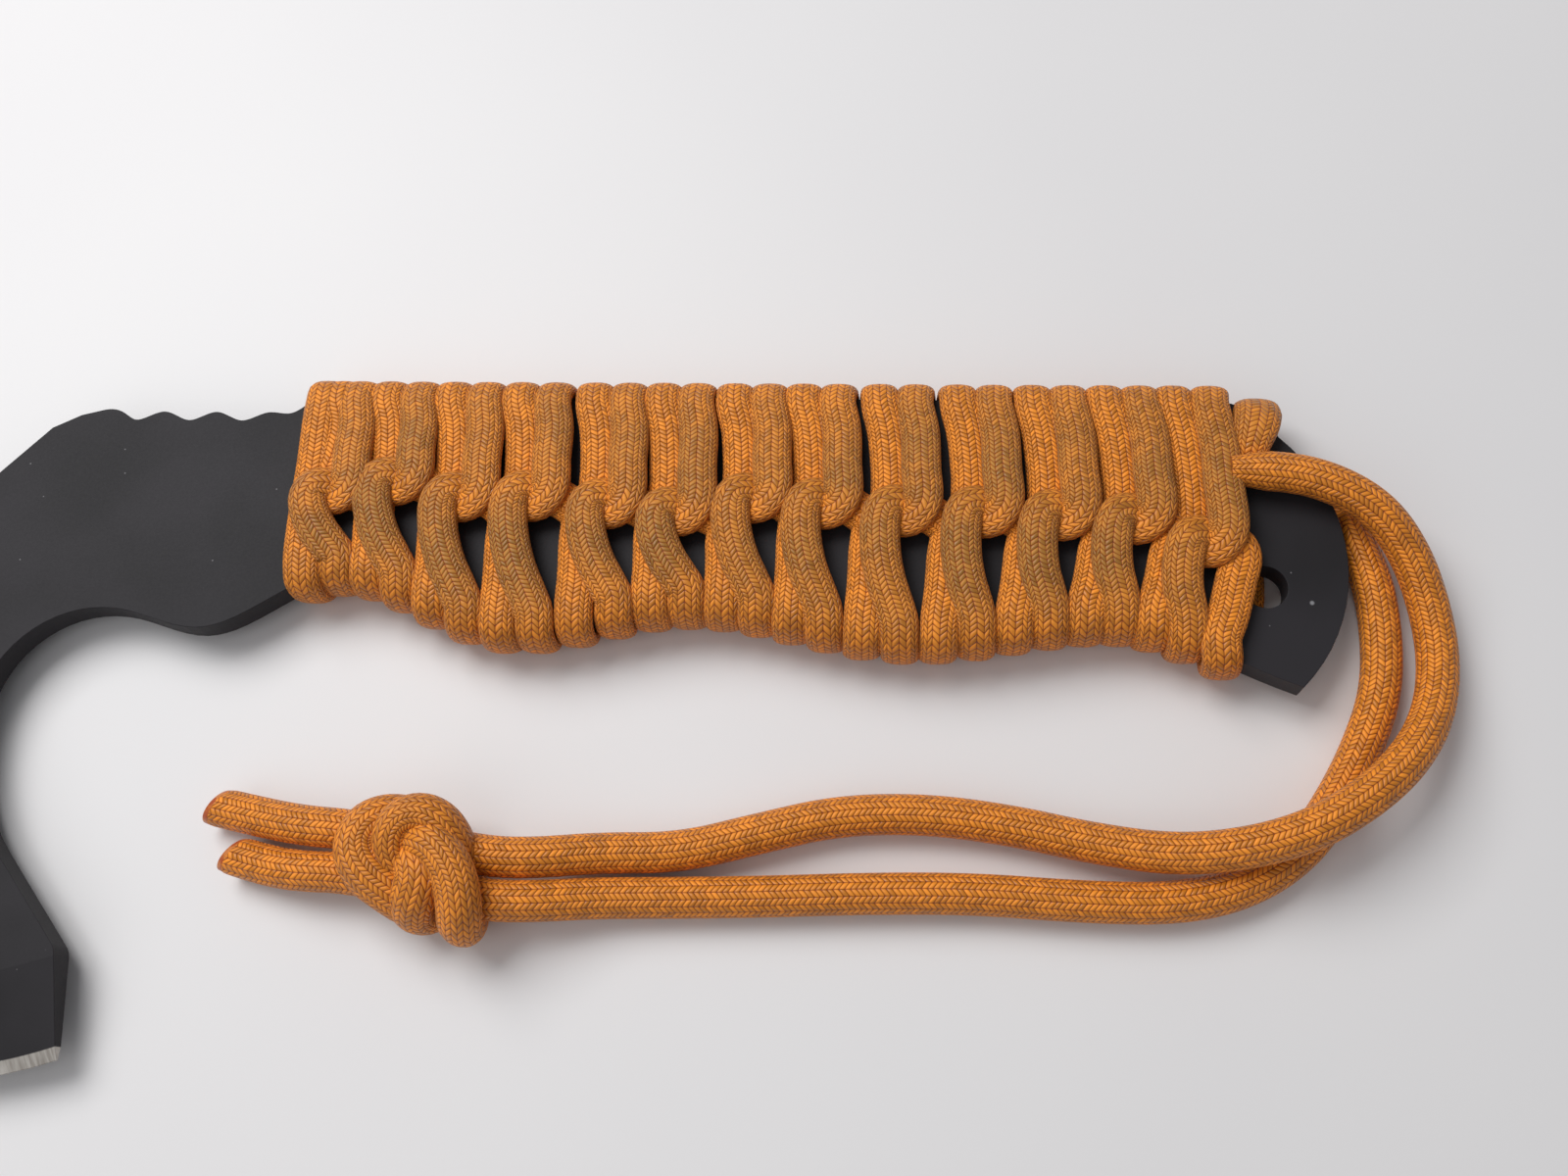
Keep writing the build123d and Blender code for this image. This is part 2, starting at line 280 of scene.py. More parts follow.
class CordSweep:
    """Geometry Nodes tree that sweeps a cord's section along a line and lays out its braid."""

    INPUTS = (
        ("Half width", "NodeSocketFloat"),
        ("Half thickness", "NodeSocketFloat"),
        ("Sides", "NodeSocketInt"),
        ("Step", "NodeSocketFloat"),
        ("Corner power", "NodeSocketFloat"),
        ("Columns", "NodeSocketFloat"),
        ("Pick length", "NodeSocketFloat"),
        ("Material", "NodeSocketMaterial"),
    )

    def __init__(self) -> None:
        """Builds the tree once, for every cord piece."""
        self.group = bpy.data.node_groups.new("cord_sweep", "GeometryNodeTree")
        face = self.group.interface
        face.new_socket("Geometry", in_out="INPUT", socket_type="NodeSocketGeometry")
        for label, kind in self.INPUTS:
            face.new_socket(label, in_out="INPUT", socket_type=kind)
        face.new_socket("Geometry", in_out="OUTPUT", socket_type="NodeSocketGeometry")
        self._fill(Tree(self.group))

    def _fill(self, t: Tree) -> None:
        """Lays the tree's nodes."""
        given = t.add("NodeGroupInput").outputs
        rail = t.add("GeometryNodeMeshToCurve")
        t.feed(rail, i0=given["Geometry"])
        even = t.add("GeometryNodeResampleCurve", mode="LENGTH")
        t.tree.links.new(rail.outputs[0], even.inputs["Curve"])
        t.tree.links.new(given["Step"], even.inputs["Length"])
        facing = t.add("GeometryNodeInputNamedAttribute", data_type="FLOAT_VECTOR")
        facing.inputs["Name"].default_value = "facing"
        girth = t.add("GeometryNodeInputNamedAttribute", data_type="FLOAT")
        girth.inputs["Name"].default_value = "girth"
        turned = t.add("GeometryNodeSetCurveNormal", mode="FREE")
        t.tree.links.new(even.outputs[0], turned.inputs["Curve"])
        t.tree.links.new(facing.outputs[0], turned.inputs["Normal"])
        sized = t.add("GeometryNodeSetCurveRadius")
        t.tree.links.new(turned.outputs[0], sized.inputs["Curve"])
        t.tree.links.new(girth.outputs[0], sized.inputs["Radius"])
        run = t.add("GeometryNodeSplineParameter")
        along = t.add("GeometryNodeStoreNamedAttribute", data_type="FLOAT", domain="POINT")
        t.tree.links.new(sized.outputs[0], along.inputs["Geometry"])
        along.inputs["Name"].default_value = "along"
        t.tree.links.new(run.outputs["Length"], along.inputs["Value"])

        line = t.add("GeometryNodeCurvePrimitiveLine")
        ring = t.add("GeometryNodeResampleCurve", mode="COUNT")
        t.tree.links.new(line.outputs[0], ring.inputs["Curve"])
        t.tree.links.new(t.math("ADD", given["Sides"], 1.0), ring.inputs["Count"])
        turn = t.add("GeometryNodeSplineParameter")
        around = t.add("GeometryNodeStoreNamedAttribute", data_type="FLOAT", domain="POINT")
        t.tree.links.new(ring.outputs[0], around.inputs["Geometry"])
        around.inputs["Name"].default_value = "around"
        t.tree.links.new(turn.outputs["Factor"], around.inputs["Value"])
        angle = t.math("MULTIPLY", turn.outputs["Factor"], 2 * math.pi)
        place = t.add("ShaderNodeCombineXYZ")
        for axis, (wave, size) in enumerate((("COSINE", "Half thickness"), ("SINE", "Half width"))):
            swing = t.math(wave, angle)
            reach = t.math("POWER", t.math("ABSOLUTE", swing), given["Corner power"])
            signed = t.math("MULTIPLY", t.math("SIGN", swing), reach)
            t.tree.links.new(t.math("MULTIPLY", signed, given[size]), place.inputs[axis])
        shaped = t.add("GeometryNodeSetPosition")
        t.tree.links.new(around.outputs[0], shaped.inputs["Geometry"])
        t.tree.links.new(place.outputs[0], shaped.inputs["Position"])

        swept = t.add("GeometryNodeCurveToMesh")
        t.tree.links.new(along.outputs[0], swept.inputs["Curve"])
        t.tree.links.new(shaped.outputs[0], swept.inputs["Profile Curve"])
        if "Scale" in swept.inputs:
            t.tree.links.new(girth.outputs[0], swept.inputs["Scale"])
        layout = t.add("ShaderNodeCombineXYZ")
        for axis, name in enumerate(("around", "along")):
            read = t.add("GeometryNodeInputNamedAttribute", data_type="FLOAT")
            read.inputs["Name"].default_value = name
            scaled = (
                t.math("MULTIPLY", read.outputs[0], given["Columns"])
                if axis == 0
                else t.math("DIVIDE", read.outputs[0], given["Pick length"])
            )
            t.tree.links.new(scaled, layout.inputs[axis])
        mapped = t.add("GeometryNodeStoreNamedAttribute", data_type="FLOAT2", domain="CORNER")
        t.tree.links.new(swept.outputs[0], mapped.inputs["Geometry"])
        mapped.inputs["Name"].default_value = "UVMap"
        t.tree.links.new(layout.outputs[0], mapped.inputs["Value"])
        closed = t.add("GeometryNodeMergeByDistance")
        t.tree.links.new(mapped.outputs[0], closed.inputs["Geometry"])
        closed.inputs["Distance"].default_value = TINY
        whole = t.add("GeometryNodeRealizeInstances")
        t.tree.links.new(closed.outputs[0], whole.inputs["Geometry"])
        dressed = t.add("GeometryNodeSetMaterial")
        t.tree.links.new(whole.outputs[0], dressed.inputs["Geometry"])
        t.tree.links.new(given["Material"], dressed.inputs["Material"])
        t.tree.links.new(dressed.outputs[0], t.add("NodeGroupOutput").inputs[0])

    def make(
        self,
        name: str,
        lines: list[Run],
        section: CordSection,
        material: bpy.types.Material,
    ) -> bpy.types.Object:
        """Sweeps one piece.

        Args:
            name: The piece's name.
            lines: For each run, its points in metres, facings, girths and wear.
            section: The cord's section.
            material: The cord's finish.

        Returns:
            A plain mesh object at the origin.
        """
        guide = bpy.data.meshes.new(name + "_guide")
        starts = np.cumsum([0] + [len(run[0]) for run in lines])
        edges = [(i, i + 1) for a, b in zip(starts, starts[1:]) for i in range(a, b - 1)]
        guide.from_pydata(np.vstack([run[0] for run in lines]).tolist(), edges, [])
        facing = guide.attributes.new("facing", "FLOAT_VECTOR", "POINT")
        facing.data.foreach_set("vector", np.vstack([run[1] for run in lines]).astype(np.float32).ravel())
        for column, label in ((2, "girth"), (3, "wear")):
            layer = guide.attributes.new(label, "FLOAT", "POINT")
            layer.data.foreach_set("value", np.concatenate([run[column] for run in lines]).astype(np.float32))
        holder = link(name + "_guide", guide)
        modifier = holder.modifiers.new("sweep", "NODES")
        modifier.node_group = self.group
        values = {
            "Half width": section.half_width * MM,
            "Half thickness": section.half_thickness * MM,
            "Sides": section.sides,
            "Step": section.step * MM,
            "Corner power": section.squareness,
            "Columns": float(section.columns),
            "Pick length": section.pick * MM,
            "Material": material,
        }
        for item in self.group.interface.items_tree:
            if item.item_type == "SOCKET" and item.in_out == "INPUT" and item.name in values:
                modifier[item.identifier] = values[item.name]
        bpy.context.view_layer.update()
        graph = bpy.context.evaluated_depsgraph_get()
        mesh = bpy.data.meshes.new_from_object(holder.evaluated_get(graph))
        bpy.data.objects.remove(holder)
        bpy.data.meshes.remove(guide)
        mesh.name = name
        self._close(mesh)
        if not mesh.materials:
            mesh.materials.append(material)
        return link(name, mesh)

    def _close(self, mesh: bpy.types.Mesh) -> None:
        """Caps the open ends, points the faces outward and smooths them."""
        work = bmesh.new()
        work.from_mesh(mesh)
        rims = [edge for edge in work.edges if edge.is_boundary]
        bmesh.ops.holes_fill(work, edges=rims, sides=0)
        bmesh.ops.recalc_face_normals(work, faces=work.faces)
        for polygon in work.faces:
            polygon.smooth = len(polygon.verts) <= 4
        work.to_mesh(mesh)
        work.free()
        for spare in ("facing", "girth", "along", "around"):
            if spare in mesh.attributes:
                mesh.attributes.remove(mesh.attributes[spare])


# ---------------------------------------------------------------- finishes
@dataclass(frozen=True)
class ParacordFinish:
    """Braided nylon sheath: herringbone picks, painted shade in the seams between them and grime on what is
    handled.
    """

    bright: Colour = (0.86, 0.275, 0.017, 1.0)
    # Painted shade: the dark colour that the seams and crevices between picks are given.
    crease_shade: Colour = (0.22, 0.024, 0.002, 1.0)
    worn: Colour = (0.42, 0.180, 0.025, 1.0)
    sheen: float = 0.05
    pick_slant: float = 0.9
    relief: float = 0.16

    def build(self) -> bpy.types.Material:
        """Builds the material from the cord's UV map and its wear attribute."""
        made = bpy.data.materials.new("orange_paracord")
        made.use_nodes = True
        t = Tree(made.node_tree)
        shader = made.node_tree.nodes["Principled BSDF"]
        layout = t.add("ShaderNodeUVMap", uv_map="UVMap")
        split = t.add("ShaderNodeSeparateXYZ")
        t.feed(split, i0=layout.outputs[0])
        column, row = split.outputs[0], split.outputs[1]
        across = t.math("FRACT", column)
        lean = t.math("PINGPONG", column, 1.0)
        stagger = t.math("ADD", row, t.math("MULTIPLY", lean, self.pick_slant))
        pick = t.math("FRACT", stagger)
        rib = t.math("POWER", t.math("SINE", t.math("MULTIPLY", across, math.pi)), 0.38)
        bead = t.math("POWER", t.math("SINE", t.math("MULTIPLY", pick, math.pi)), 0.5)
        height = t.math("MULTIPLY", rib, bead)
        cell = t.add("ShaderNodeCombineXYZ")
        t.feed(cell, i0=t.math("FLOOR", column), i1=t.math("FLOOR", stagger))
        chance = t.add("ShaderNodeTexWhiteNoise", noise_dimensions="3D")
        t.feed(chance, i0=cell.outputs[0])
        place = t.add("ShaderNodeTexCoord").outputs["Object"]
        patches = t.add("ShaderNodeTexNoise")
        t.feed(patches, i0=place)
        patches.inputs["Scale"].default_value = 120.0
        patches.inputs["Detail"].default_value = 4.0
        grime = t.add("ShaderNodeAttribute", attribute_name="wear")
        soiled = t.math("MULTIPLY", grime.outputs["Fac"], t.ramp(patches.outputs[0], 0.3, 0.62, 0.45, 1.0))
        soiled_tops = t.math("MULTIPLY", soiled, t.ramp(height, 0.2, 0.9, 0.55, 1.0))
        base = t.blend(soiled_tops, self.bright, self.worn)
        # Painted shade: the low places of the braid relief, between picks and columns, are darkened towards
        # the crease shade colour.
        shade = t.ramp(height, 0.05, 0.72, 0.0, 1.0)
        crease_shaded = t.blend(shade, self.crease_shade, base)
        tone = t.add("ShaderNodeHueSaturation")
        value = t.math("ADD", 0.75, t.math("MULTIPLY", chance.outputs["Value"], 0.50))
        t.feed(tone, i2=value, i4=crease_shaded)
        t.tree.links.new(tone.outputs[0], shader.inputs["Base Color"])
        gloss = t.math("ADD", 0.34, t.math("MULTIPLY", chance.outputs["Value"], 0.26))
        t.tree.links.new(gloss, shader.inputs["Roughness"])
        shader.inputs["Sheen Weight"].default_value = self.sheen
        shader.inputs["Sheen Roughness"].default_value = 0.45
        shader.inputs["Specular IOR Level"].default_value = 0.45
        fibre = t.add("ShaderNodeTexNoise")
        t.feed(fibre, i0=place)
        fibre.inputs["Scale"].default_value = 5200.0
        raised = t.math("ADD", height, t.math("MULTIPLY", fibre.outputs[0], 0.14))
        bump = t.add("ShaderNodeBump")
        bump.inputs["Strength"].default_value = 0.85
        bump.inputs["Distance"].default_value = self.relief * MM
        t.tree.links.new(raised, bump.inputs["Height"])
        t.tree.links.new(bump.outputs[0], shader.inputs["Normal"])
        return made


@dataclass(frozen=True)
class MeltedFinish:
    """Cord end that a flame has sealed: darker, smoother and uneven."""

    colour: Colour = (0.45, 0.085, 0.02, 1.0)
    rim: Colour = (0.62, 0.20, 0.045, 1.0)

    def build(self) -> bpy.types.Material:
        """Builds the sealed end's material."""
        made = bpy.data.materials.new("sealed_cord_end")
        made.use_nodes = True
        t = Tree(made.node_tree)
        shader = made.node_tree.nodes["Principled BSDF"]
        blotch = t.add("ShaderNodeTexNoise")
        t.feed(blotch, i0=t.add("ShaderNodeTexCoord").outputs["Object"])
        blotch.inputs["Scale"].default_value = 900.0
        colour = t.blend(t.ramp(blotch.outputs[0], 0.4, 0.6, 0.0, 1.0), self.colour, self.rim)
        t.tree.links.new(colour, shader.inputs["Base Color"])
        shader.inputs["Roughness"].default_value = 0.38
        bump = t.add("ShaderNodeBump")
        bump.inputs["Strength"].default_value = 0.6
        bump.inputs["Distance"].default_value = 0.1 * MM
        t.tree.links.new(blotch.outputs[0], bump.inputs["Height"])
        t.tree.links.new(bump.outputs[0], shader.inputs["Normal"])
        return made


@dataclass(frozen=True)
class CoatedSteelFinish:
    """Dark satin coating with fine grit, and bare ground steel along the cutting edge."""

    coat: Colour = (0.018, 0.0165, 0.0185, 1.0)
    coat_light: Colour = (0.027, 0.0245, 0.028, 1.0)
    ground: Colour = (0.52, 0.49, 0.45, 1.0)
    ground_dark: Colour = (0.30, 0.27, 0.24, 1.0)
    edge_centre: tuple[float, float] = (-131.52, -3.95)
    edge_radius: float = 48.0
    bevel_width: float = 1.3
    bevel_blend: float = 0.12
    grind_below_y: float = -17.0
    dust: Colour = (0.34, 0.33, 0.34, 1.0)
    nick_light: Colour = (0.42, 0.42, 0.44, 1.0)
    scratch: Point = (4.4, -1.6, 1.5)

    def build(self) -> bpy.types.Material:
        """Builds the material from the place on the plate."""
        made = bpy.data.materials.new("dark_coated_steel")
        made.use_nodes = True
        t = Tree(made.node_tree)
        shader = made.node_tree.nodes["Principled BSDF"]
        place = t.add("ShaderNodeTexCoord").outputs["Object"]
        split = t.add("ShaderNodeSeparateXYZ")
        t.feed(split, i0=place)
        grit = t.add("ShaderNodeTexNoise")
        t.feed(grit, i0=place)
        grit.inputs["Scale"].default_value = 4200.0
        grit.inputs["Detail"].default_value = 3.0
        cloud = t.add("ShaderNodeTexNoise")
        t.feed(cloud, i0=place)
        cloud.inputs["Scale"].default_value = 55.0
        cloud.inputs["Detail"].default_value = 3.0
        coat = t.blend(t.ramp(cloud.outputs[0], 0.35, 0.65, 0.0, 1.0), self.coat, self.coat_light)
        speck = t.add("ShaderNodeTexVoronoi", feature="F1")
        t.feed(speck, i0=place)
        speck.inputs["Scale"].default_value = 620.0
        picked = t.add("ShaderNodeTexWhiteNoise", noise_dimensions="3D")
        t.feed(picked, i0=speck.outputs["Position"])
        dot = t.ramp(speck.outputs[0], 0.03, 0.07, 1.0, 0.0)
        rare = t.ramp(picked.outputs[0], 0.8, 0.84, 0.0, 0.5)
        coat = t.blend(t.math("MULTIPLY", dot, rare), coat, self.dust)

        along = t.math("SUBTRACT", split.outputs[0], self.edge_centre[0] * MM)
        aside = t.math("SUBTRACT", split.outputs[1], self.edge_centre[1] * MM)
        squares = t.math("ADD", t.math("MULTIPLY", along, along), t.math("MULTIPLY", aside, aside))
        radius = t.math("SQRT", squares)
        start = (self.edge_radius - self.bevel_width) * MM
        in_ring = t.ramp(radius, start, start + self.bevel_blend * MM, 0.0, 1.0)
        below = t.math("LESS_THAN", split.outputs[1], self.grind_below_y * MM)
        bare = t.math("MULTIPLY", in_ring, below)
        turn = t.math("ARCTAN2", aside, along)
        streak_place = t.add("ShaderNodeCombineXYZ")
        t.feed(streak_place, i0=t.math("MULTIPLY", turn, 130.0), i1=t.math("MULTIPLY", radius, 300.0))
        streaks = t.add("ShaderNodeTexNoise")
        t.feed(streaks, i0=streak_place.outputs[0])
        streaks.inputs["Scale"].default_value = 1.0
        streaks.inputs["Detail"].default_value = 6.0
        steel = t.blend(t.ramp(streaks.outputs[0], 0.3, 0.7, 0.0, 1.0), self.ground_dark, self.ground)

        mark = t.add("ShaderNodeVectorMath", operation="DISTANCE")
        t.feed(mark, i0=place, i1=tuple(value * MM for value in self.scratch))
        nick = t.ramp(mark.outputs["Value"], 0.10 * MM, 0.30 * MM, 0.55, 0.0)
        colour = t.blend(nick, t.blend(bare, coat, steel), self.nick_light)
        t.tree.links.new(colour, shader.inputs["Base Color"])
        t.tree.links.new(t.math("MULTIPLY", bare, 0.8), shader.inputs["Metallic"])
        shader.inputs["Specular IOR Level"].default_value = 0.2
        rough = t.math("ADD", 0.52, t.math("MULTIPLY", grit.outputs[0], 0.12))
        polished = t.math("SUBTRACT", rough, t.math("MULTIPLY", bare, 0.14))
        t.tree.links.new(polished, shader.inputs["Roughness"])
        grain = t.math("MULTIPLY", grit.outputs[0], 0.5)
        grind = t.math("MULTIPLY", t.math("MULTIPLY", streaks.outputs[0], bare), 0.8)
        relief = t.math("ADD", grain, grind)
        bump = t.add("ShaderNodeBump")
        bump.inputs["Strength"].default_value = 0.32
        bump.inputs["Distance"].default_value = 0.04 * MM
        t.tree.links.new(relief, bump.inputs["Height"])
        t.tree.links.new(bump.outputs[0], shader.inputs["Normal"])
        return made


# ---------------------------------------------------------------- studio
@dataclass
class Studio:
    """Camera, pale floor and soft light."""

    camera_place: Point = (-0.03650, -0.05213, 0.14630)
    camera_turn: Point = (19.5928, 3.7258, 2.2647)
    lens: float = 34.83
    floor_gap: float = 0.00005
    floor_size: float = 1.6
    floor_dark: Colour = (0.78, 0.765, 0.77, 1.0)
    floor_light: Colour = (0.84, 0.825, 0.82, 1.0)
    surround: Colour = (0.86, 0.88, 0.92, 1.0)
    surround_strength: float = 0.28
    light_aim: Point = (-0.05, -0.01, 0.0)

    def make_camera(self) -> None:
        """Makes the camera and sets it as the scene's own."""
        data = bpy.data.cameras.new("camera")
        data.lens = self.lens
        data.sensor_width = 36.0
        data.clip_start = 0.005
        camera = bpy.data.objects.new("camera", data)
        bpy.context.scene.collection.objects.link(camera)
        camera.location = self.camera_place
        camera.rotation_euler = [math.radians(turn) for turn in self.camera_turn]
        bpy.context.scene.camera = camera

    def make_floor(self) -> None:
        """Makes the pale table top just under the object."""
        half = self.floor_size / 2
        z = TABLE_Z * MM - self.floor_gap
        corners = [(-half, -half, z), (half, -half, z), (half, half, z), (-half, half, z)]
        mesh = bpy.data.meshes.new("floor")
        mesh.from_pydata(corners, [], [(0, 1, 2, 3)])
        material = bpy.data.materials.new("pale_table")
        material.use_nodes = True
        t = Tree(material.node_tree)
        shader = material.node_tree.nodes["Principled BSDF"]
        cloud = t.add("ShaderNodeTexNoise")
        t.feed(cloud, i0=t.add("ShaderNodeTexCoord").outputs["Object"])
        cloud.inputs["Scale"].default_value = 14.0
        colour = t.blend(cloud.outputs[0], self.floor_dark, self.floor_light)
        t.tree.links.new(colour, shader.inputs["Base Color"])
        shader.inputs["Roughness"].default_value = 0.5
        mesh.materials.append(material)
        link("floor", mesh)

    def make_lights(self) -> None:
        """Makes one large soft light from the far left, a smaller fill and a pale surround."""
        for name, place, size, power in (
            ("key_light", (-0.32, 0.24, 0.48), 0.40, 2.9),
            ("fill_light", (-0.35, -0.35, 0.50), 0.60, 0.75),
        ):
            data = bpy.data.lights.new(name, "AREA")
            data.size = size
            data.energy = power
            lamp = bpy.data.objects.new(name, data)
            bpy.context.scene.collection.objects.link(lamp)
            lamp.location = place
            aim = Vector(self.light_aim) - Vector(place)
            lamp.rotation_euler = aim.to_track_quat("-Z", "Y").to_euler()
        world = bpy.data.worlds.new("surround")
        world.use_nodes = True
        backdrop = world.node_tree.nodes["Background"]
        backdrop.inputs[0].default_value = self.surround
        backdrop.inputs[1].default_value = self.surround_strength
        bpy.context.scene.world = world
        bpy.context.scene.view_settings.view_transform = "Standard"


# ---------------------------------------------------------------- lanyard
@dataclass
class Lanyard:
    """Two strands of cord from the butt, the knot that ties them and their cut tails."""

    diameter: float = 4.0
    strand_section: CordSection = CordSection(2.0, 2.0, sides=32, step=0.5, columns=18, pick=0.56)
    knot_section: CordSection = CordSection(2.42, 2.08, sides=32, step=0.4, columns=24, pick=0.50)
    strand_wear: float = 0.12
    knot_wear: float = 0.35
    girth_at_wrap: float = 0.74
    pressed_length: float = 4.0
    girth_at_tip: float = 0.93
    drawn_in_length: float = 1.0
    butt_corner: tuple[float, float] = (8.8, 5.0)
    plate_clearance: float = 0.02
    cut_reach: float = 3.5
    cut_slope: float = 0.42
    tip_slack: float = 1e-5
    seal_width: float = 0.5
    seal_reach: float = 0.7
    sealed: MeltedFinish = MeltedFinish()
    front_length: float = 0.166
    back_length: float = 0.157
    front_route: tuple[Point, ...] = (
        (-3.2, 11.7, 3.6),
        (1.4, 11.7, 3.8),
        (6.5, 10.4, 4.1),
        (11.3, 7.7, 3.3),
        (14.6, 3.6, 1.2),
        (16.4, -1.4, -0.5),
        (16.8, -6.8, -0.7),
        (15.4, -12.3, 0.5),
        (12.4, -17.0, 2.1),
        (8.4, -20.8, 2.9),
        (3.2, -24.2, 2.9),
        (-2.7, -26.1, 2.0),
        (-9.6, -26.7, 0.2),
        (-17.4, -25.5, -1.4),
        (-25.0, -23.9, -1.7),
        (-33.6, -23.0, -1.6),
        (-42.0, -23.4, -1.7),
        (-49.6, -25.4, -1.5),
        (-57.4, -27.5, -1.7),
        (-65.2, -27.8, -1.1),
        (-71.2, -28.8, 0.7),
        (-76.2, -28.8, 0.7),
        (-83.4, -27.4, 0.4),
        (-90.6, -26.4, 0.3),
        (-94.4, -26.2, 0.1),
        (-99.4, -25.3, -1.2),
        (-104.6, -24.2, -1.65),
    )
    back_route: tuple[Point, ...] = (
        (-3.2, 12.9, -2.6),
        (1.0, 12.9, -2.6),
        (5.6, 12.0, -2.6),
        (9.1, 10.1, -2.3),
        (10.3, 5.8, -1.7),
        (11.5, 1.5, -1.7),
        (11.8, -3.8, -1.65),
        (11.3, -9.6, -1.7),
        (9.2, -15.0, -1.7),
        (6.4, -20.2, -1.7),
        (2.8, -25.4, -1.7),
        (-2.6, -29.2, -1.7),
        (-9.4, -31.0, -1.7),
        (-18.4, -31.1, -1.6),
        (-28.6, -30.6, -1.7),
        (-38.8, -30.9, -1.6),
        (-48.8, -31.5, -1.7),
        (-58.2, -31.9, -1.65),
        (-65.4, -32.2, -1.2),
        (-71.4, -33.0, 0.7),
        (-76.2, -33.0, 0.7),
        (-83.4, -31.6, 0.3),
        (-90.6, -30.6, -0.2),
        (-94.2, -30.6, -0.4),
        (-98.2, -30.1, -1.2),
        (-102.2, -29.0, -1.65),
    )
    outer_turn: tuple[Point, ...] = (
        (-80.0, -33.0, -0.8),
        (-82.6, -33.6, 0.2),
        (-84.7, -32.4, 1.6),
        (-87.2, -30.8, 2.4),
        (-88.5, -28.4, 2.5),
        (-87.6, -26.0, 2.1),
        (-85.2, -25.1, 1.2),
        (-82.8, -25.6, -0.6),
        (-80.2, -27.6, -1.7),
        (-78.4, -31.0, -1.7),
        (-77.8, -34.6, -1.2),
        (-77.7, -35.6, 1.4),
        (-77.3, -34.0, 3.6),
        (-77.8, -31.4, 4.2),
        (-79.3, -29.2, 4.3),
        (-81.2, -28.1, 3.8),
        (-83.2, -28.0, 1.4),
    )
    inner_turn: tuple[Point, ...] = (
        (-82.8, -31.4, -0.4),
        (-83.9, -29.9, 1.6),
        (-84.8, -27.8, 3.0),
        (-84.0, -25.9, 3.5),
        (-82.0, -25.2, 3.6),
        (-80.0, -26.0, 3.3),
        (-78.8, -27.8, 2.2),
        (-78.4, -29.8, 0.4),
        (-79.4, -32.0, -1.5),
        (-81.6, -34.2, -1.6),
        (-82.7, -34.3, 0.4),
        (-82.1, -33.2, 2.6),
        (-81.4, -31.5, 3.4),
        (-82.0, -29.6, 3.2),
        (-83.4, -28.6, 1.0),
    )

    def _girths(self, line: np.ndarray) -> np.ndarray:
        """Girth along a strand: pressed where it leaves the wrap, and drawn in at its sealed tip."""
        run = np.concatenate([[0], np.cumsum(np.linalg.norm(np.diff(line, axis=0), axis=1))])
        start = np.clip(run / (self.pressed_length * MM), 0, 1)
        girth = self.girth_at_wrap + (1 - self.girth_at_wrap) * start * start * (3 - 2 * start)
        left = np.clip((run[-1] - run) / (self.drawn_in_length * MM), 0, 1)
        return girth * (self.girth_at_tip + (1 - self.girth_at_tip) * left**0.5)

    def _press(self, mesh: bpy.types.Mesh) -> None:
        """Flattens the back strand between the plate's butt and what it lies on."""
        for vertex in mesh.vertices:
            x, y, z = vertex.co
            if x < self.butt_corner[0] * MM and y > self.butt_corner[1] * MM:
                vertex.co.z = min(z, -(HALF_PLATE + self.plate_clearance) * MM)
        rest_on_table(mesh)

    def _cut_tip(self, mesh: bpy.types.Mesh, line: np.ndarray, sealed: bpy.types.Material) -> None:
        """Shears a tail's tip to a slanting cut and gives the cut face its sealed finish.

        Args:
            mesh: The strand's mesh.
            line: The strand's line, whose last point is the tip.
            sealed: Finish of the melted end.
        """
        tip = Vector(line[-1])
        ahead = (tip - Vector(line[-4])).normalized()
        aside = Vector((0, 0, 1)).cross(ahead).normalized()
        mesh.materials.append(sealed)
        reach = self.cut_reach * MM
        for vertex in mesh.vertices:
            back = (tip - vertex.co).dot(ahead)
            if 0 <= back + self.tip_slack < reach and (vertex.co - tip).length < 2 * reach:
                share = 1 - max(back, 0.0) / reach
                vertex.co += ahead * self.cut_slope * share * (vertex.co - tip).dot(aside)
        for polygon in mesh.polygons:
            if (polygon.center - tip).length < self.seal_reach * self.diameter * MM:
                flat = (polygon.center - tip).dot(ahead)
                slant = self.cut_slope * (polygon.center - tip).dot(aside)
                if flat > slant - self.seal_width * MM:
                    polygon.material_index = 1

    def _strand(
        self, name: str, route: tuple[Point, ...], sweep: CordSweep, cord: bpy.types.Material
    ) -> tuple[bpy.types.Object, np.ndarray]:
        """Sweeps one free strand along its route and returns it with its line."""
        line = route_line(name, route)
        facing = carried_normals(line, (0, 0, 1))
        run = (line, facing, self._girths(line), np.full(len(line), self.strand_wear))
        piece = sweep.make(name, [run], self.strand_section, cord)
        self._cut_tip(piece.data, line, self.sealed.build())
        return piece, line

    def make_strands(self, sweep: CordSweep, cord: bpy.types.Material) -> None:
        """Makes both free strands, from the wrap to their cut tips."""
        front, front_line = self._strand("lanyard_front_strand", self.front_route, sweep, cord)
        back, back_line = self._strand("lanyard_back_strand", self.back_route, sweep, cord)
        self._press(back.data)
        knot = self._knot(sweep, cord)
        rest_on_table(front.data)
        rest_on_table(knot.data)
        for piece, nodes in (
            (front, ("lanyard_front", "long_tail")),
            (back, ("lanyard_back_root", "lanyard_back", "short_tail")),
            (knot, ("lanyard_knot",)),
        ):
            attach(piece, BODY)
            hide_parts(*nodes)
            LOG.info("%s made for %s", piece.name, ", ".join(nodes))

    def _knot(self, sweep: CordSweep, cord: bpy.types.Material) -> bpy.types.Object:
        """Makes the overhand knot's two turns, drawn down on the strands inside them."""
        runs = []
        for number, route in enumerate((self.outer_turn, self.inner_turn)):
            line = route_line(f"knot_turn_{number}", route)
            wear = np.full(len(line), self.knot_wear)
            runs.append((line, carried_normals(line, (1, 0, 0)), np.ones(len(line)), wear))
        return sweep.make("lanyard_overhand_knot", runs, self.knot_section, cord)


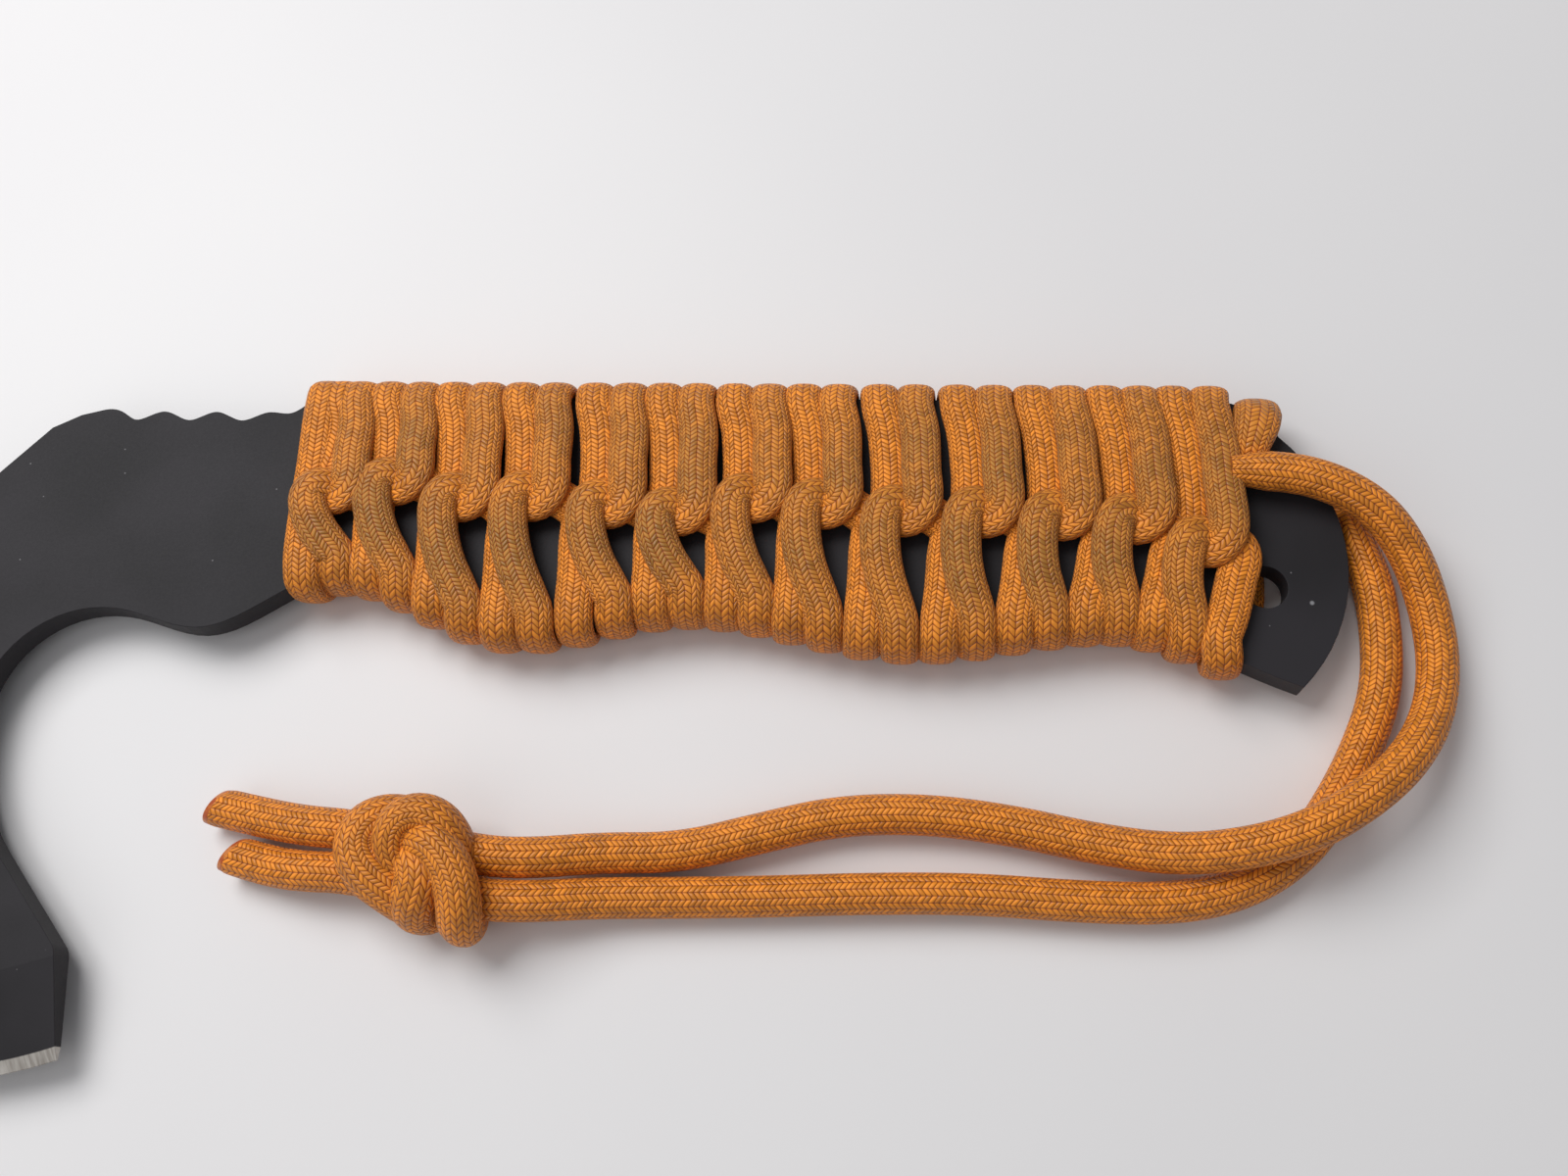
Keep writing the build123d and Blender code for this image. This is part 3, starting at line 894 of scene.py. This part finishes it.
# ---------------------------------------------------------------- cord wrap
@dataclass
class Wrap:
    """Hitched wrap on the tang: a spine strand and a belly strand that hook into each other."""

    section: CordSection = CordSection(2.06, 1.04, sides=24, step=0.5, squareness=0.80, columns=22, pick=0.50)
    girth_at_edge: float = 0.96
    low: float = 2.55
    high: float = 3.9
    back_high: float = 3.0
    rim: float = 1.05
    reach: float = 1.2
    lean_from: float = -60.0
    lean_rate: float = 0.065
    narrowing: float = 0.16
    last_stride: float = 6.2
    foot: float = 1.45
    low_leg_from: float = 2.4
    lean_power: float = 1.3
    shoulder: float = 0.45
    turn_height: float = 1.95
    samples_per_row: int = 8
    core_inset: float = 1.3
    squeeze_start: float = 0.4
    squeeze_length: float = 3.4
    tuck_girths: tuple[float, ...] = (0.62, 0.68, 0.88, 1.12, 1.22, 1.16, 1.0, 0.9, 0.8)
    middles: tuple[tuple[float, float], ...] = (
        (-95.9, 8.4),
        (-89.15, 9.5),
        (-82.0, 7.8),
        (-74.6, 7.95),
        (-66.55, 7.25),
        (-59.25, 6.55),
        (-51.55, 8.05),
        (-44.3, 7.5),
        (-36.2, 6.8),
        (-28.0, 6.8),
        (-20.3, 6.6),
        (-12.85, 6.35),
        (-5.9, 4.05),
    )

    def _level(self, face: Face, share: float) -> float:
        """Height over the plate's middle of a leg that is raised by a share."""
        top = self.high if face is Face.FRONT else self.back_high
        return face.value * (self.low + (top - self.low) * share)

    def _upper(self, middle: tuple[float, float], face: Face, first: bool) -> list[Row]:
        """One turn of the spine strand on a face: down the low leg, round and up the raised leg.

        Args:
            middle: Where the two strands hook, in millimetres.
            face: The plate's face that it lies on.
            first: Whether it is pushed aside by the plain turn.

        Returns:
            Rows of x, y, z and wear.
        """
        x, y = middle
        rise = SPINE_Y - self.reach - y
        aside = 1.5 if first else 0.0
        rows = [
            (-2.35 + aside, 1.00, 0.0, 0.15),
            (-1.60 + aside, 0.74, 0.0, 0.0),
            (-1.15 + 0.5 * aside, 0.36, 0.0, 0.0),
            (-1.05, 0.10, 0.0, 0.0),
            (-0.35, -0.025, 0.15, 0.0),
            (0.85, -0.035, 0.55, 0.1),
            (1.85, 0.03, 0.9, 0.45),
            (2.15, 0.13, 1.0, 0.9),
            (1.95, 0.38, 0.85, 1.0),
            (1.80, 0.72, 0.45, 0.85),
            (1.20, 1.00, 0.15, 0.55),
        ]
        return [(x + dx, y + share * rise, self._level(face, lift), wear) for dx, share, lift, wear in rows]

    def _lower(self, middle: tuple[float, float], face: Face, stride: float) -> list[Row]:
        """One turn of the belly strand on a face: up the raised leg, round and down the low leg.

        Args:
            middle: Where the two strands hook, in millimetres.
            face: The plate's face that it lies on.
            stride: Distance to the next hook, in millimetres.

        Returns:
            Rows of x, y, z and wear.
        """
        x, y = middle
        lean = max(0.0, x - self.lean_from) * self.lean_rate
        edge = belly_y(x + self.foot - lean) + self.reach
        far = self.foot + stride / 2
        far_edge = belly_y(x + far - lean) + self.reach
        rows = [
            (self.foot, 1.00, 0.15, 0.55),
            (0.62, 0.85, 0.35, 0.8),
            (-0.60, 0.64, 0.65, 1.0),
            (-1.45, 0.43, 0.85, 1.0),
            (-1.90, 0.24, 1.0, 1.0),
            (-2.02, 0.09, 1.0, 0.9),
            (-1.70, -0.02, 0.95, 0.8),
            (-0.85, -0.075, 0.75, 0.6),
            (0.50, -0.08, 0.3, 0.2),
            (2.10, -0.05, 0.0, 0.0),
            (3.60, 0.01, 0.0, 0.0),
            (0.87 * far + 0.43, 0.13, 0.0, 0.0),
            (0.90 * far + 0.42, 0.40, 0.0, 0.0),
            (0.95 * far + 0.32, 0.74, 0.0, 0.0),
            (far, 1.00, 0.0, 0.15),
        ]
        made = []
        for dx, share, lift, wear in rows:
            outward = max(share, 0.0)
            if dx > self.low_leg_from:
                low_end, drift = far_edge, lean * (self.narrowing + (1 - self.narrowing) * outward)
            else:
                low_end, drift = edge, lean * outward**self.lean_power
            made.append((x + dx - drift, y + share * (low_end - y), self._level(face, lift), wear))
        return made

    def _over_edge(self, before: Row, after: Row, spine: bool) -> list[Row]:
        """Rows that take a strand round the spine or the belly, from one face to the other."""
        side = math.copysign(1.0, before[2])
        x = (before[0] + after[0]) / 2
        edge, away = (SPINE_Y, 1.0) if spine else (belly_y(x), -1.0)
        shoulder = edge + away * self.shoulder
        return [
            (0.75 * before[0] + 0.25 * after[0], shoulder, side * self.turn_height, 0.35),
            (x, edge + away * self.rim, 0.0, 0.3),
            (0.25 * before[0] + 0.75 * after[0], shoulder, -side * self.turn_height, 0.3),
        ]

    def _back_middles(self) -> list[tuple[float, float]]:
        """Places of the hooks on the back, half a pitch on from those on the front."""
        pairs = zip(self.middles, self.middles[1:])
        return [((a[0] + b[0]) / 2, (a[1] + b[1]) / 2) for a, b in pairs]

    def _spine_rows(self) -> list[Row]:
        """Rows of the spine strand from its plain first turn to the butt."""
        low = self.low
        rows = [
            (-96.2, 8.0, -low, 0.0),
            (-97.2, 15.0, -low, 0.0),
            (-97.8, 19.0, -low, 0.1),
            (-98.1, SPINE_Y + self.shoulder, -self.turn_height, 0.2),
            (-98.3, SPINE_Y + self.rim, 0.0, 0.2),
            (-98.4, SPINE_Y + self.shoulder, self.turn_height, 0.2),
            (-98.3, 18.6, low, 0.2),
            (-98.2, 12.0, low, 0.0),
            (-98.2, 5.0, low, 0.1),
            (-98.0, belly_y(-98.0) + self.reach, low, 0.3),
            (-97.9, belly_y(-97.9) - self.shoulder, self.turn_height, 0.3),
            (-97.8, belly_y(-97.8) - self.rim, 0.0, 0.3),
            (-97.7, belly_y(-97.7) - self.shoulder, -self.turn_height, 0.3),
            (-97.6, belly_y(-97.6) + self.reach, -low, 0.1),
            (-97.6, 7.0, -low, 0.0),
            (-97.3, 14.0, -low, 0.0),
            (-96.9, SPINE_Y - self.reach, -low, 0.1),
        ]
        backs = self._back_middles()
        for number, middle in enumerate(self.middles):
            front = self._upper(middle, Face.FRONT, number == 0)
            rows += self._over_edge(rows[-1], front[0], True) + front
            if number < len(backs):
                back = self._upper(backs[number], Face.BACK, False)
                rows += self._over_edge(rows[-1], back[0], True) + back
        last = (-3.9, SPINE_Y - self.reach, -low, 0.1)
        rows += self._over_edge(rows[-1], last, True)
        return rows + [last, (-4.1, 15.5, -low, 0.0), (-4.6, 12.4, -low, 0.0)]

    def _belly_rows(self) -> list[Row]:
        """Rows of the belly strand from the head end to the butt."""
        low = self.low
        rows = [(-94.6, 6.0, -low, 0.0), (-94.8, belly_y(-94.8) + self.reach, -low, 0.0)]
        backs = self._back_middles()
        strides = [b[0] - a[0] for a, b in zip(self.middles, self.middles[1:])] + [self.last_stride]
        for number, middle in enumerate(self.middles):
            front = self._lower(middle, Face.FRONT, strides[number])
            rows += self._over_edge(rows[-1], front[0], False) + front
            if number < len(backs):
                back = self._lower(backs[number], Face.BACK, (strides[number] + strides[number + 1]) / 2)
                rows += self._over_edge(rows[-1], back[0], False) + back
        x = -4.2
        last = (x, belly_y(x) + self.reach, -low, 0.1)
        beside_hole = [(-1.9, -2.6), (-1.2, 2.0), (-2.2, 7.0), (-3.9, 11.0)]
        rows += self._over_edge(rows[-1], last, False) + [last]
        return rows + [(along, across, -low, 0.0) for along, across in beside_hole]

    def _tuck_rows(self) -> list[Row]:
        """Rows of the cord end that is tucked under the front strand and folded over the spine."""
        return [
            (-1.9, 11.2, 2.4, 0.0),
            (-1.3, 12.6, 2.6, 0.1),
            (-0.9, 14.4, 3.0, 0.4),
            (-0.3, 16.6, 3.1, 0.8),
            (0.2, 18.6, 2.2, 0.8),
            (0.4, 20.0, 0.4, 0.5),
            (0.0, 19.4, -1.9, 0.3),
            (-1.2, 17.2, -2.6, 0.0),
            (-2.8, 15.0, -2.6, 0.0),
        ]

    def _run(
        self, rows: list[Row], girths: tuple[float, ...] | None = None
    ) -> Run:
        """Turns rows into a smooth run with the facing that the plate gives it.

        Args:
            rows: Rows of x, y, z and wear, in millimetres.
            girths: A girth for each row, or None for the cord's own.

        Returns:
            Points in metres, facings, girths and wear.
        """
        table = np.array(rows, float)
        girth = np.ones(len(table)) if girths is None else np.array(girths, float)
        values = np.column_stack([table[:, 3], girth])
        line, carried = sampled(table[:, :3], values, self.samples_per_row)
        along = tangents(line)
        facing = []
        for point, direction in zip(line, along):
            low = belly_y(point[0]) + self.core_inset
            core = np.array([point[0], min(max(point[1], low), SPINE_Y - self.core_inset), 0.0])
            out = point - core
            out = out - out @ direction * direction
            facing.append(out / max(np.linalg.norm(out), TINY))
        low_edge = np.array([belly_y(x) for x in line[:, 0]])
        inside = np.minimum(SPINE_Y - line[:, 1], line[:, 1] - low_edge)
        ease = np.clip((inside + self.squeeze_start) / self.squeeze_length, 0, 1)
        squeeze = self.girth_at_edge + (1 - self.girth_at_edge) * ease * ease * (3 - 2 * ease)
        return line * MM, np.array(facing), carried[:, 1] * squeeze, carried[:, 0]

    def build(self, sweep: CordSweep, cord: bpy.types.Material) -> None:
        """Makes the wrap's pieces in place of its CAD blocks."""
        count = len(self.middles)
        for name, run, nodes in (
            (
                "wrap_spine_strand",
                self._run(self._spine_rows()),
                ["first_turn"] + [f"spine_hitch_{number:02d}" for number in range(1, count + 1)],
            ),
            (
                "wrap_belly_strand",
                self._run(self._belly_rows()),
                [f"belly_hitch_{number:02d}" for number in range(1, count + 1)],
            ),
            ("tucked_cord_end", self._run(self._tuck_rows(), self.tuck_girths), ["butt_tuck"]),
        ):
            piece = sweep.make(name, [run], self.section, cord)
            rest_on_table(piece.data)
            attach(piece, BODY)
            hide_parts(*nodes)
            LOG.info("%s made for %d blocks", piece.name, len(nodes))


# ---------------------------------------------------------------- plate
@dataclass
class Plate:
    """The one-piece steel plate: its corners are broken and its coating worn."""

    corner_break: float = 0.22
    sharp_angle: float = 30.0
    flat_angle: float = 0.6

    def build(self, steel: bpy.types.Material) -> None:
        """Makes the plate from a copy of its CAD solid."""
        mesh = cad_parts["blade"].data.copy()
        mesh.name = "steel_plate"
        work = bmesh.new()
        work.from_mesh(mesh)
        bmesh.ops.remove_doubles(work, verts=work.verts, dist=TINY)
        flat = math.radians(self.flat_angle)
        bmesh.ops.dissolve_limit(
            work, angle_limit=flat, verts=work.verts, edges=work.edges, delimit=set()
        )
        bmesh.ops.recalc_face_normals(work, faces=work.faces)
        work.to_mesh(mesh)
        work.free()
        mesh.materials.clear()
        mesh.materials.append(steel)
        plate = link("steel_plate", mesh)
        bevel = plate.modifiers.new("corner_break", "BEVEL")
        bevel.width = self.corner_break * MM
        bevel.segments = 2
        bevel.limit_method = "ANGLE"
        bevel.angle_limit = math.radians(self.sharp_angle)
        bpy.context.view_layer.update()
        graph = bpy.context.evaluated_depsgraph_get()
        final = bpy.data.meshes.new_from_object(plate.evaluated_get(graph))
        plate.modifiers.clear()
        plate.data = final
        for polygon in final.polygons:
            polygon.use_smooth = False
        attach(plate, BODY)
        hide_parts("blade")
        LOG.info("steel_plate made for blade")


def main() -> None:
    """Builds the studio, the cords, the wrap and the plate, in that order."""
    logging.basicConfig(level=logging.INFO)
    studio = Studio()
    studio.make_camera()
    sweep = CordSweep()
    cord = ParacordFinish().build()
    Lanyard().make_strands(sweep, cord)
    Wrap().build(sweep, cord)
    Plate().build(CoatedSteelFinish().build())
    studio.make_floor()
    studio.make_lights()


if __name__ == "__main__":
    main()
